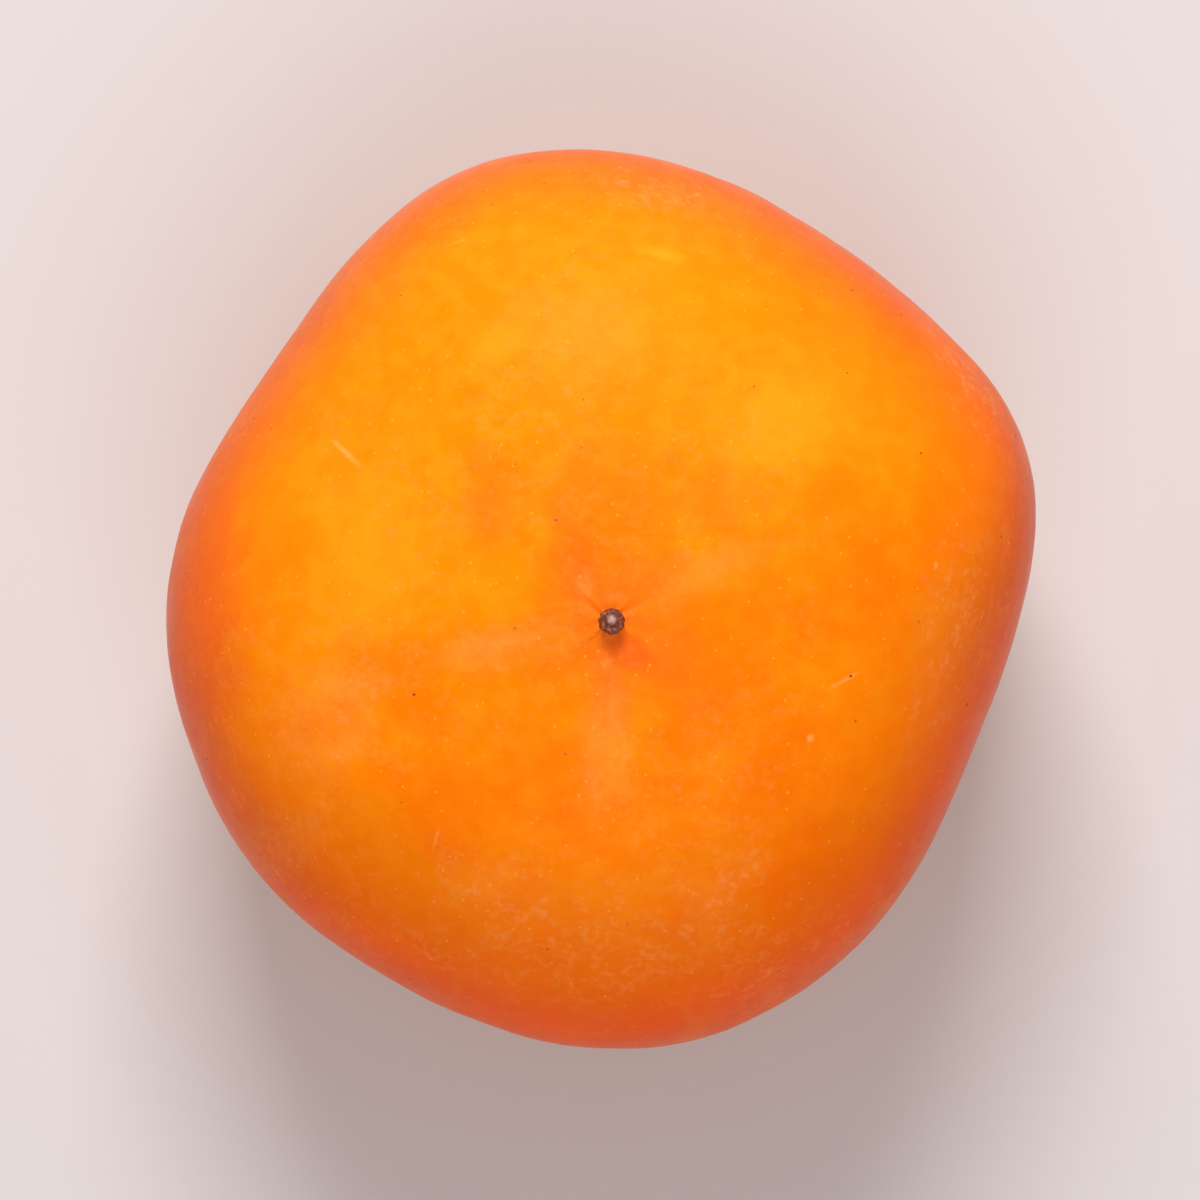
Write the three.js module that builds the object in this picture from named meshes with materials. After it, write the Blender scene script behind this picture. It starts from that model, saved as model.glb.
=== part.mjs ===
// A flat, four-sided persimmon as picked, standing on its calyx with the apex up.
// Millimetres, +Z up, origin on the resting plane below the middle of the fruit.
import * as THREE from "three";
import { mergeVertices } from "three/addons/utils/BufferGeometryUtils.js";

const { cos, sin, exp, abs, max, min, sign, PI } = Math;
const degree = PI / 180;
const gap = 0.3; // clearance between pieces that touch

// The outline seen from above is a circle with slow waves: lobes round it, swell in mm, turn of one crest in degrees.
const fruit = {
  meanRadius: 37.4,
  waves: [
    { lobes: 2, swell: 1.17, crest: 69 },
    { lobes: 3, swell: 0.16, crest: 39 },
    { lobes: 4, swell: 1.24, crest: 15 },
    { lobes: 5, swell: 0.43, crest: 24 },
    { lobes: 7, swell: 0.26, crest: 15 },
  ],
  restHeight: 1.5, // lowest ring of the shoulder above the resting plane
  equatorHeight: 25.5,
  domeHeight: 26.3,
  domePower: 2.25, // 2 is an ellipse, more is boxier
  shoulderPower: 2.08,
  shoulderShare: 0.54, // radius of the lowest ring over the outline radius
  basinDepth: 6,
  apexX: 1.0,
  apexY: -1.8,
  dipDepth: 0.6,
  dipShare: 0.2,
  nibHeight: 0.5,
  nibShare: 0.06,
  columns: 80,
  rows: 48,
};

const calyx = {
  lobes: [
    { turn: 60, reach: 25.6 },
    { turn: 150, reach: 24.2 },
    { turn: 240, reach: 25.3 },
    { turn: 330, reach: 24.7 },
  ],
  notch: 13, // radius at the cut between two lobes
  lobePower: 2.1,
  lobeRound: 1.25,
  pointHeight: 1.2, // small point at the end of each lobe
  pointShare: 0.2,
  pointPower: 1.5,
  ripple: 0.45, // uneven outline, with waves that give each lobe a shape of its own
  rippleWaves: 9,
  thickness: 1.5,
  edgeThickness: 0.8,
  thinningPower: 8, // high, so that the blade thins only near its edge
  droop: 0.6, // share of the room above the resting plane that the edges sink into
  frill: 0.35, // how much the droop swells and fades round the edge
  frillWaves: 14,
  edgePower: 4,
  foldRadius: 10, // the folds between the lobes stand out most at this radius
  foldWidth: 3.3,
  collarRadius: 5.4,
  collarWidth: 1.3,
  collarHeight: 0.7,
  crowding: 0.2, // how far the columns crowd towards the notches
  rowSpread: 0.9, // under 1 spreads the rows towards the edge
  columns: 96,
  rows: 20,
};

const stalk = {
  radius: 2.4,
  flare: 3.5,
  length: 3.4,
  cutSlope: 0.12, // slant of the clipped end
  oval: 0.08,
  chamfer: 0.3,
  burr: 0.1, // the bark stands proud round the clipped end
  neckFrom: 0.35, // the neck's ends, as shares of the length below the foot
  neckTo: 0.65,
  footRim: 0.15,
  columns: 24,
};

const style = {
  footRadius: 0.8,
  bulgeRadius: 1.15,
  height: 1.3,
  outline: [[1, 0.3], [0.9, 0.65], [0.5, 0.95]], // shares of the bulge radius and of the height
  columns: 16,
};

// Radius of the widest outline in a direction.
function outlineRadius(turn) {
  return fruit.waves.reduce(
    (radius, wave) => radius + wave.swell * cos(wave.lobes * (turn - wave.crest * degree)),
    fruit.meanRadius,
  );
}

// Height of the dome at a share of the outline radius.
function domeHeight(share) {
  const dome = fruit.domeHeight * max(0, 1 - share ** fruit.domePower) ** (1 / fruit.domePower);
  const dip = fruit.dipDepth * exp(-((share / fruit.dipShare) ** 2));
  const nib = fruit.nibHeight * exp(-((share / fruit.nibShare) ** 2));
  return fruit.equatorHeight + dome - dip + nib;
}

// Height of the under side: a basin round the calyx inside the lowest ring, a rounded shoulder outside it.
function undersideHeight(share) {
  if (share < fruit.shoulderShare) {
    const inward = share / fruit.shoulderShare;
    return fruit.restHeight + fruit.basinDepth * (1 - inward ** 2) ** 2;
  }
  const outward = min(1, (share - fruit.shoulderShare) / (1 - fruit.shoulderShare));
  const drop = (1 - outward ** fruit.shoulderPower) ** (1 / fruit.shoulderPower);
  return fruit.equatorHeight - (fruit.equatorHeight - fruit.restHeight) * drop;
}

// A unit sphere whose vertices are moved: place gets the turn about Z, the share of the way out from the axis and
// whether the vertex is on the upper half, and gives the point.
function mouldSphere(columns, rows, place) {
  const geometry = new THREE.SphereGeometry(1, columns, rows).rotateX(PI / 2);
  geometry.deleteAttribute("normal");
  geometry.deleteAttribute("uv");
  const merged = mergeVertices(geometry);
  const position = merged.attributes.position;
  const point = new THREE.Vector3();
  for (let i = 0; i < position.count; i += 1) {
    point.fromBufferAttribute(position, i);
    const out = min(1, Math.hypot(point.x, point.y));
    const side = abs(point.z) < 1e-6 ? 0 : sign(point.z);
    point.copy(place(Math.atan2(point.y, point.x), out, side));
    position.setXYZ(i, point.x, point.y, point.z);
  }
  merged.computeVertexNormals();
  return merged;
}

function fruitGeometry() {
  return mouldSphere(fruit.columns, fruit.rows, (turn, out, side) => {
    const share = out ** (2 / fruit.domePower);
    const radius = share * outlineRadius(turn);
    const lean = side > 0 ? 1 - share ** 2 : 0;
    const height = side > 0 ? domeHeight(share) : undersideHeight(share);
    return new THREE.Vector3(
      radius * cos(turn) + lean * fruit.apexX,
      radius * sin(turn) + lean * fruit.apexY,
      side === 0 ? fruit.equatorHeight : height,
    );
  });
}

// The lobe that a direction falls in, and how far it is from the lobe's midline: 0 on it, 1 at the notch.
function lobeAt(turn) {
  const half = PI / calyx.lobes.length;
  const offsets = calyx.lobes.map((lobe) => {
    const away = turn - lobe.turn * degree;
    return Math.atan2(sin(away), cos(away)) / half;
  });
  const nearest = offsets.reduce((best, offset, i) => (abs(offset) < abs(offsets[best]) ? i : best), 0);
  return { lobe: calyx.lobes[nearest], across: min(1, abs(offsets[nearest])) };
}

// Turns crowded towards the notches, where the outline changes fastest.
function crowdedTurn(turn) {
  const period = (2 * PI) / calyx.lobes.length;
  const phase = ((turn - calyx.lobes[0].turn * degree) / period) * 2 * PI;
  return turn + ((calyx.crowding * period) / 2) * sin(phase);
}

function calyxReach(turn) {
  const { lobe, across } = lobeAt(turn);
  const blade = (1 - across ** calyx.lobePower) ** (1 / calyx.lobeRound);
  const point = calyx.pointHeight * exp(-((across / calyx.pointShare) ** calyx.pointPower));
  const ripple = calyx.ripple * cos(calyx.rippleWaves * turn);
  return calyx.notch + (lobe.reach - calyx.pointHeight - calyx.notch + ripple) * blade + point;
}

// The calyx follows the under side of the fruit. Its edges droop into the room left above the resting plane, and what
// would pass that plane is pressed flat on it.
function calyxGeometry() {
  return mouldSphere(calyx.columns, calyx.rows, (evenTurn, out, side) => {
    const turn = crowdedTurn(evenTurn);
    const along = out ** calyx.rowSpread;
    const radius = along * calyxReach(turn);
    const { across } = lobeAt(turn);
    const thinned = along ** calyx.thinningPower;
    const thickness = calyx.thickness + (calyx.edgeThickness - calyx.thickness) * thinned;
    const collar = calyx.collarHeight * exp(-(((radius - calyx.collarRadius) / calyx.collarWidth) ** 2));
    const top = undersideHeight(radius / outlineRadius(turn)) - gap;
    const between = (1 - cos(PI * across)) / 2;
    const fold = between ** 2 * exp(-(((radius - calyx.foldRadius) / calyx.foldWidth) ** 2));
    const frilled = 1 + calyx.frill * cos(calyx.frillWaves * turn);
    const edge = frilled * (radius / calyx.lobes[0].reach) ** calyx.edgePower;
    const room = max(0, top - thickness);
    const low = max(0, top - thickness - room * calyx.droop * min(1, fold + edge));
    const high = low + min(thickness, top - low);
    const height = side > 0 ? high : low - collar;
    return new THREE.Vector3(radius * cos(turn), radius * sin(turn), side === 0 ? (low + high) / 2 : height);
  });
}

// The stub hangs from the middle of the calyx: a flared foot, an oval neck and a slanting clipped end.
function stalkGeometry() {
  const foot = undersideHeight(stalk.flare / fruit.meanRadius) - calyx.thickness - 3 * gap;
  const profile = [
    [0, stalk.length],
    [stalk.radius + stalk.burr - stalk.chamfer, stalk.length],
    [stalk.radius + stalk.burr, stalk.length - stalk.chamfer],
    [stalk.radius, stalk.neckTo * stalk.length],
    [stalk.radius + stalk.burr, stalk.neckFrom * stalk.length],
    [stalk.flare - stalk.chamfer, stalk.footRim * stalk.length],
    [stalk.flare, 0],
    [0, 0],
  ].map(([radius, depth]) => new THREE.Vector2(radius, foot - depth));
  const geometry = new THREE.LatheGeometry(profile, stalk.columns).rotateX(PI / 2);
  const position = geometry.attributes.position;
  for (let i = 0; i < position.count; i += 1) {
    const x = position.getX(i);
    const y = position.getY(i);
    const z = position.getZ(i);
    const slant = (stalk.cutSlope * x * (foot - z)) / stalk.length;
    position.setXYZ(i, x * (1 + stalk.oval), y * (1 - stalk.oval), z + slant);
  }
  return geometry;
}

function styleGeometry() {
  const foot = domeHeight(0) + gap;
  const profile = [
    [0, foot],
    [style.footRadius, foot],
    ...style.outline.map(([out, up]) => [out * style.bulgeRadius, foot + up * style.height]),
    [0, foot + style.height],
  ].map(([radius, height]) => new THREE.Vector2(radius, height));
  return new THREE.LatheGeometry(profile, style.columns).rotateX(PI / 2).translate(fruit.apexX, fruit.apexY, 0);
}

function addPiece(group, name, geometry, color, roughness) {
  const material = new THREE.MeshStandardMaterial({ color, roughness, metalness: 0 });
  const mesh = new THREE.Mesh(geometry, material);
  mesh.name = name;
  group.add(mesh);
}

const persimmon = new THREE.Group();
addPiece(persimmon, "fruit", fruitGeometry(), 0xf98312, 0.4);
addPiece(persimmon, "calyx", calyxGeometry(), 0x7d7a4a, 0.8);
addPiece(persimmon, "stalk", stalkGeometry(), 0x6b5138, 0.9);
addPiece(persimmon, "style_tip", styleGeometry(), 0x3a2a22, 0.6);

export default persimmon;
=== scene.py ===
import math
import bpy
import numpy as np
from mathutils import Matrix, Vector, noise


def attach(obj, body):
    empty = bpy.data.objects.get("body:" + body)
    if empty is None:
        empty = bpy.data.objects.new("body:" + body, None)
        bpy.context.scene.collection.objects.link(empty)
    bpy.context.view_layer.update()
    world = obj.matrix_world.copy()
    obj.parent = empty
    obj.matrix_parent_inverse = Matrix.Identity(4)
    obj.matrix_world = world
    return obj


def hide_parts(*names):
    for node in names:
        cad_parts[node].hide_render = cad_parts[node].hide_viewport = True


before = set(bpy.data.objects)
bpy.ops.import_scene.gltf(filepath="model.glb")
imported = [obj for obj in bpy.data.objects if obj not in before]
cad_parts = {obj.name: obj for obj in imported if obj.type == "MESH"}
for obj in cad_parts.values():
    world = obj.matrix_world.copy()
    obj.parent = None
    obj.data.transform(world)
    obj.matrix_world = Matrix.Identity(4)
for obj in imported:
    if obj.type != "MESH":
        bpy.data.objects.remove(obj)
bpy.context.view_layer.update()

# A flat, four-sided persimmon standing on its calyx, seen from straight above.
# The dictionaries are in millimetres and degrees, and the meshes in metres.
mm = 0.001
scene = bpy.context.scene


def linearColour(hexColour):
    channels = [int(hexColour[i:i + 2], 16) / 255 for i in (1, 3, 5)]
    return (*[c / 12.92 if c <= 0.04045 else ((c + 0.055) / 1.055) ** 2.4 for c in channels], 1.0)


# links each input that is given a node or a socket, and sets the others
def setInputs(tree, node, wanted):
    for key, value in wanted.items():
        if isinstance(value, bpy.types.Node):
            value = value.outputs[0]
        if isinstance(value, bpy.types.NodeSocket):
            tree.links.new(value, node.inputs[key])
        else:
            node.inputs[key].default_value = value


# inputs are values or sockets in order, or one dictionary by name or place; settings are the node's own
def addNode(tree, kind, *inputs, **settings):
    node = tree.nodes.new(kind)
    for name, value in settings.items():
        setattr(node, name, value)
    setInputs(tree, node, inputs[0] if inputs and isinstance(inputs[0], dict) else dict(enumerate(inputs)))
    return node


def newMaterial(name):
    material = bpy.data.materials.new(name)
    material.use_nodes = True
    tree = material.node_tree
    tree.nodes.clear()
    shader = addNode(tree, "ShaderNodeBsdfPrincipled")
    addNode(tree, "ShaderNodeOutputMaterial", {"Surface": shader})
    return material, tree, shader


# object coordinates in millimetres, so that a pattern's scale is one over its real size
def millimetres(tree):
    place = addNode(tree, "ShaderNodeTexCoord").outputs["Object"]
    return addNode(tree, "ShaderNodeVectorMath", {0: place, "Scale": 1 / mm}, operation="SCALE")


# lays a look's colours over its base, each through its own mask, and gives the last colour socket
def layerColours(tree, look, base, layers):
    colour = linearColour(look[base])
    for mask, name in layers:
        inputs = {0: mask, 6: colour, 7: linearColour(look[name])}
        colour = addNode(tree, "ShaderNodeMix", inputs, data_type="RGBA").outputs[2]
    return colour


# soft patches of one size: noise cut between two levels
def patches(tree, spot, size, low, high, strength=1.0, detail=2.0, distortion=0.0):
    field = addNode(tree, "ShaderNodeTexNoise", {"Vector": spot, "Scale": 1 / size, "Detail": detail,
                                                 "Distortion": distortion})
    return addNode(tree, "ShaderNodeMapRange", {"Value": field, "From Min": low, "From Max": high,
                                                "To Max": strength}, interpolation_type="SMOOTHSTEP")


# soft patches that fan out from an axis: how crowded round it, and how fast they change along the base
def fanned(tree, direction, base, crowding, change, *levels):
    fan = addNode(tree, "ShaderNodeVectorMath", {0: direction, "Scale": crowding}, operation="SCALE")
    fan = addNode(tree, "ShaderNodeVectorMath", base, (0.0, 0.0, change), fan, operation="MULTIPLY_ADD")
    return patches(tree, fan, 1.0, *levels)


# masks that fade in from one value to another: start, end, strength and kind of fade
def zoneMasks(tree, zones, values):
    masks = {}
    for name, (start, end, strength, fade) in zones.items():
        inputs = {"Value": values[name], "From Min": start, "From Max": end, "To Max": strength}
        masks[name] = addNode(tree, "ShaderNodeMapRange", inputs, interpolation_type=fade)
    return masks


# a geometry tree with an input for a mesh and one for each named value
def newTree(name, values):
    tree = bpy.data.node_groups.new(name, "GeometryNodeTree")
    for way in ("OUTPUT", "INPUT"):
        tree.interface.new_socket("Geometry", in_out=way, socket_type="NodeSocketGeometry")
    for key, value in values.items():
        kind = {int: "NodeSocketInt", float: "NodeSocketFloat"}.get(type(value), "NodeSocketMaterial")
        tree.interface.new_socket(key, in_out="INPUT", socket_type=kind)
    return tree, addNode(tree, "NodeGroupInput").outputs


# ends a tree with real geometry in the material that it is given
def finishTree(tree, given, made):
    whole = addNode(tree, "GeometryNodeRealizeInstances", {"Geometry": made})
    whole = addNode(tree, "GeometryNodeSetMaterial", {"Geometry": whole, "Material": given["Material"]})
    addNode(tree, "NodeGroupOutput", whole)
    return tree


# runs a tree on an object and keeps what it makes as a plain mesh
def meshFromTree(name, tree, values, source=None):
    holder = bpy.data.objects.new(name, source or bpy.data.meshes.new(name))
    scene.collection.objects.link(holder)
    modifier = holder.modifiers.new(name, "NODES")
    modifier.node_group = tree
    for socket in tree.interface.items_tree:
        if socket.in_out == "INPUT" and socket.name in values:
            modifier[socket.identifier] = values[socket.name]
    bpy.context.view_layer.update()
    depsgraph = bpy.context.evaluated_depsgraph_get()
    mesh = bpy.data.meshes.new_from_object(holder.evaluated_get(depsgraph), depsgraph=depsgraph)
    holder.modifiers.remove(modifier)
    bpy.data.objects.remove(holder)
    return mesh


def newPiece(name, mesh, material, slot, *nodes):
    piece = bpy.data.objects.new(name, mesh)
    scene.collection.objects.link(piece)
    mesh.materials.clear()
    mesh.materials.append(material)
    mesh.shade_smooth()
    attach(piece, "root")
    if nodes:
        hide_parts(*nodes)
    print(name, len(mesh.polygons), "faces")
    return piece


# a closed skin over rings of points, from a point below to a point above
def ringMesh(name, rings, bottom, top):
    count = len(rings[0])
    points = np.concatenate([[bottom], *rings, [top]]) * mm
    k = np.arange(count)
    after = (k + 1) % count
    last = 1 + (len(rings) - 1) * count
    faces = [(0, 1 + b, 1 + a) for a, b in zip(k, after)]
    faces += [(last + a, last + b, len(points) - 1) for a, b in zip(k, after)]
    for low in range(1, last, count):
        faces += [(low + a, low + b, low + count + b, low + count + a) for a, b in zip(k, after)]
    mesh = bpy.data.meshes.new(name)
    mesh.from_pydata(points.tolist(), [], [tuple(int(i) for i in face) for face in faces])
    mesh.update()
    return mesh


# noise between -1 and 1 at each point, with features of one size
def bumps(points, size, seed):
    shift = Vector((seed * 7.3, seed * 3.1, seed * 5.7))
    return np.array([noise.noise(Vector(point) / size + shift) for point in points])


# The berry: the outline and profile of the solid, made fine, with the unevenness of a grown skin.
berryForm = {
    "Segments": 352,
    "Rings": 180,
    "Mean radius": 37.4,
    "Equator height": 25.5,
    "Rest height": 1.5,  # lowest ring of the shoulder
    "Dome height": 26.3,  # above the equator
    "Dome power": 2.25,  # 2 is an ellipse, more is boxier
    "Shoulder power": 2.08,
    "Shoulder share": 0.54,  # radius of the lowest ring over the outline's
    "Basin depth": 6.0,
    "Apex X": 1.0,
    "Apex Y": -1.8,
    "Dip depth": 0.6,
    "Dip share": 0.2,
    "Nib height": 0.5,
    "Nib share": 0.06,
    "Pucker folds": 9.0,  # small folds that run out from the style
    "Pucker height": 0.09,
    "Pucker share": 0.07,
    "Pucker wander": 9.0,
    "Wander scale": 22.0,
    "Slow unevenness": 0.36,
    "Fine unevenness": 0.06,
}
# slow waves of the outline: lobes, swell, turn of a crest
berryWaves = [(2, 1.17, 69), (3, 0.16, 39), (4, 1.24, 15), (5, 0.43, 24), (7, 0.26, 15)]
# unevenness along the normals: input, size, seed
berryBumps = [("Slow unevenness", 13.0, 3.0), ("Fine unevenness", 3.2, 8.0)]


def berryTree(values):
    tree, given = newTree("berryForm", values)

    # a unit sphere gives every point its turn and its share of the way out
    ball = addNode(tree, "GeometryNodeMeshUVSphere", given["Segments"], given["Rings"], 1.0)
    at = addNode(tree, "ShaderNodeSeparateXYZ", addNode(tree, "GeometryNodeInputPosition")).outputs
    level = addNode(tree, "ShaderNodeCombineXYZ", at["X"], at["Y"], 0.0)
    out = addNode(tree, "ShaderNodeVectorMath", level, operation="LENGTH").outputs["Value"]
    turn = addNode(tree, "ShaderNodeMath", at["Y"], at["X"], operation="ARCTAN2")
    upper = addNode(tree, "ShaderNodeMath", at["Z"], 0.0, operation="GREATER_THAN")
    rise = addNode(tree, "ShaderNodeMath", at["Z"], operation="ABSOLUTE")
    rounding = addNode(tree, "ShaderNodeMath", 2.0, given["Dome power"], operation="DIVIDE")
    share = addNode(tree, "ShaderNodeMath", out, rounding, operation="POWER")

    # outline: a circle with slow waves
    outline = given["Mean radius"]
    for lobes, _, crest in berryWaves:
        shift = -lobes * math.radians(crest)
        angle = addNode(tree, "ShaderNodeMath", turn, lobes, shift, operation="MULTIPLY_ADD")
        wave = addNode(tree, "ShaderNodeMath", angle, operation="COSINE")
        outline = addNode(tree, "ShaderNodeMath", wave, given[f"Swell of {lobes} lobes"], outline,
                          operation="MULTIPLY_ADD")

    # dome, with a shallow dip and a small nib at the apex
    dome = addNode(tree, "ShaderNodeMath", rise, rounding, operation="POWER")
    dome = addNode(tree, "ShaderNodeMath", dome, given["Dome height"], given["Equator height"],
                   operation="MULTIPLY_ADD")
    for width, depth, way in (("Dip share", "Dip depth", "SUBTRACT"), ("Nib share", "Nib height", "ADD")):
        near = addNode(tree, "ShaderNodeMath", share, given[width], operation="DIVIDE")
        near = addNode(tree, "ShaderNodeMath", near, near, operation="MULTIPLY")
        near = addNode(tree, "ShaderNodeMath", near, -1.0, operation="MULTIPLY")
        near = addNode(tree, "ShaderNodeMath", near, operation="EXPONENT")
        near = addNode(tree, "ShaderNodeMath", near, given[depth], operation="MULTIPLY")
        dome = addNode(tree, "ShaderNodeMath", dome, near, operation=way)

    # small wandering folds round the style, highest at the pucker's share of the way out
    folds = addNode(tree, "ShaderNodeMath", turn, given["Pucker folds"], operation="MULTIPLY")
    wander = addNode(tree, "ShaderNodeTexNoise", {"Vector": level, "Scale": given["Wander scale"],
                                                  "Detail": 1.0})
    folds = addNode(tree, "ShaderNodeMath", wander, given["Pucker wander"], folds, operation="MULTIPLY_ADD")
    folds = addNode(tree, "ShaderNodeMath", folds, operation="COSINE")
    near = addNode(tree, "ShaderNodeMath", share, given["Pucker share"], operation="DIVIDE")
    fading = addNode(tree, "ShaderNodeMath", near, -1.0, 1.0, operation="MULTIPLY_ADD")
    fading = addNode(tree, "ShaderNodeMath", fading, operation="EXPONENT")
    near = addNode(tree, "ShaderNodeMath", near, fading, operation="MULTIPLY")
    folds = addNode(tree, "ShaderNodeMath", folds, near, operation="MULTIPLY")
    dome = addNode(tree, "ShaderNodeMath", folds, given["Pucker height"], dome, operation="MULTIPLY_ADD")

    # basin round the calyx, inside the lowest ring
    inward = addNode(tree, "ShaderNodeMath", share, given["Shoulder share"], operation="DIVIDE")
    inward = addNode(tree, "ShaderNodeMath", inward, inward, operation="MULTIPLY")
    inward = addNode(tree, "ShaderNodeMath", 1.0, inward, operation="SUBTRACT")
    inward = addNode(tree, "ShaderNodeMath", inward, inward, operation="MULTIPLY")
    basin = addNode(tree, "ShaderNodeMath", inward, given["Basin depth"], given["Rest height"],
                    operation="MULTIPLY_ADD")

    # rounded shoulder, from the lowest ring up to the equator
    outward = addNode(tree, "ShaderNodeMapRange",
                      {"Value": share, "From Min": given["Shoulder share"], "From Max": 1.0})
    outward = addNode(tree, "ShaderNodeMath", outward, given["Shoulder power"], operation="POWER")
    outward = addNode(tree, "ShaderNodeMath", 1.0, outward, operation="SUBTRACT", use_clamp=True)
    rounder = addNode(tree, "ShaderNodeMath", 1.0, given["Shoulder power"], operation="DIVIDE")
    drop = addNode(tree, "ShaderNodeMath", outward, rounder, operation="POWER")
    shoulder = addNode(tree, "ShaderNodeMapRange", {"Value": drop, "To Min": given["Equator height"],
                                                    "To Max": given["Rest height"]})
    inside = addNode(tree, "ShaderNodeMath", share, given["Shoulder share"], operation="LESS_THAN")
    under = addNode(tree, "GeometryNodeSwitch", inside, shoulder, basin, input_type="FLOAT")
    height = addNode(tree, "GeometryNodeSwitch", upper, under, dome, input_type="FLOAT")

    # the apex stands a little off the middle, so the dome leans towards it
    lean = addNode(tree, "ShaderNodeMath", share, share, operation="MULTIPLY")
    lean = addNode(tree, "ShaderNodeMath", 1.0, lean, operation="SUBTRACT")
    lean = addNode(tree, "ShaderNodeMath", lean, upper, operation="MULTIPLY")
    radius = addNode(tree, "ShaderNodeMath", outline, share, operation="MULTIPLY")
    across = []
    for direction, apex in (("COSINE", "Apex X"), ("SINE", "Apex Y")):
        side = addNode(tree, "ShaderNodeMath", turn, operation=direction)
        side = addNode(tree, "ShaderNodeMath", side, radius, operation="MULTIPLY")
        across.append(addNode(tree, "ShaderNodeMath", lean, given[apex], side, operation="MULTIPLY_ADD"))
    place = addNode(tree, "ShaderNodeCombineXYZ", *across, height)
    skin = addNode(tree, "GeometryNodeSetPosition", {"Geometry": ball, "Position": place})

    for name, size, seed in berryBumps:
        spot = addNode(tree, "GeometryNodeInputPosition")
        inputs = {"Vector": spot, "W": seed, "Scale": 1 / size, "Detail": 1.0}
        field = addNode(tree, "ShaderNodeTexNoise", inputs, noise_dimensions="4D")
        swing = addNode(tree, "ShaderNodeMapRange", {"Value": field, "To Min": -1.0, "To Max": 1.0})
        swing = addNode(tree, "ShaderNodeMath", swing, given[name], operation="MULTIPLY")
        inputs = {0: addNode(tree, "GeometryNodeInputNormal"), "Scale": swing}
        offset = addNode(tree, "ShaderNodeVectorMath", inputs, operation="SCALE")
        skin = addNode(tree, "GeometryNodeSetPosition", {"Geometry": skin, "Offset": offset})

    sized = addNode(tree, "GeometryNodeTransform", {"Geometry": skin, "Scale": (mm, mm, mm)})
    return finishTree(tree, given, sized)


# Ripe persimmon skin, grown: thin, waxy and faintly see-through over orange flesh, satin under a dusty bloom
# that is rubbed off in places. Amber on the dome, redder on the flanks and round the apex; the deeper,
# redder flanks are in part painted shade that darkens the rim.
skinLook = {
    "amber": "#FC8804",
    "goldAndHighlight": "#FF9F18",
    # deep and the red low on the flanks: in part the skin's colour, in part painted shade that darkens the
    # rim
    "deepAndShade": "#F65A00",
    "redFlankAndShade": "#CF4404",
    "blushAndShade": "#F4581C",
    "bloom": "#FF9A4C",
    "scuff": "#F79A54",
    "scratch": "#FFB968",
    "lenticel": "#FFB240",
    "speck": "#7A3A14",
    "corky": "#B4622C",
    "underLeaf": "#F39A1E",
    "gleam": "#FFC88C",
}
skinFinish = {
    "IOR": 1.33,
    "Specular IOR Level": 0.11,  # low, because the bloom takes the shine off the wax
    "Specular Tint": linearColour(skinLook["gleam"]),
    "Subsurface Weight": 0.15,
    "Subsurface Radius": (1.0, 0.35, 0.08),
    "Subsurface Scale": 2.0 * mm,
}
# plain noises: size, detail, roughness
skinNoises = {
    "ragged": (2.6, 4.0, 0.6),
    "grain": (0.7, 3.0, 0.65),
    "pores": (0.45, 2.0, 0.5),
    "ripple": (2.4, 2.0, 0.5),
}
# size, the two levels that the noise is cut between, strength, detail, distortion
skinPatches = {
    "clump": (2.0, 0.36, 0.62, 1.0, 2.0, 0.8),
    "dusty": (15.0, 0.4, 0.65, 0.2, 3.0),
    "mottle": (9.0, 0.36, 0.68, 0.35, 4.0),
    "freckle": (2.1, 0.38, 0.66, 0.3, 3.0),
    "border": (6.0, 0.3, 0.7, 6.0, 3.0),
}
# what fans out from the apex: crowding, change, then the levels and so on as above
skinFans = {
    "streaks": (9.0, 0.1, 0.42, 0.68),
    "lines": (19.0, 0.05, 0.4, 0.8, 0.25, 4.0, 0.6),
    "cracks": (11.0, 3.4, 0.6, 0.7, 0.6, 2.0, 0.4),
}
# height, or distance from the apex, at which each zone begins and is full, strength, kind of fade
skinZones = {
    "dome": (16.0, 27.0, 1.0, "LINEAR"),
    # flank and low: in part painted shade that darkens the rim
    "flank": (50.0, 31.0, 1.0, "SMOOTHSTEP"),
    "low": (45.0, 31.0, 0.5, "SMOOTHSTEP"),
    "belt": (10.0, 27.0, 1.0, "LINEAR"),
    "apex": (10.0, 1.0, 0.35, "SMOOTHSTEP"),
    "shaded": (30.0, 5.0, 0.75, "SMOOTHSTEP"),
}
# lenticels and specks: spacing, radius, share left out, strength
skinDots = [(1.15, 0.16, 0.3, 0.5), (5.5, 0.2, 0.55, 0.75)]
shadeSlope = (0.004, -0.011, 0.0)  # painted shade: deeper towards the south and east, the side away from the key light
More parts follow.
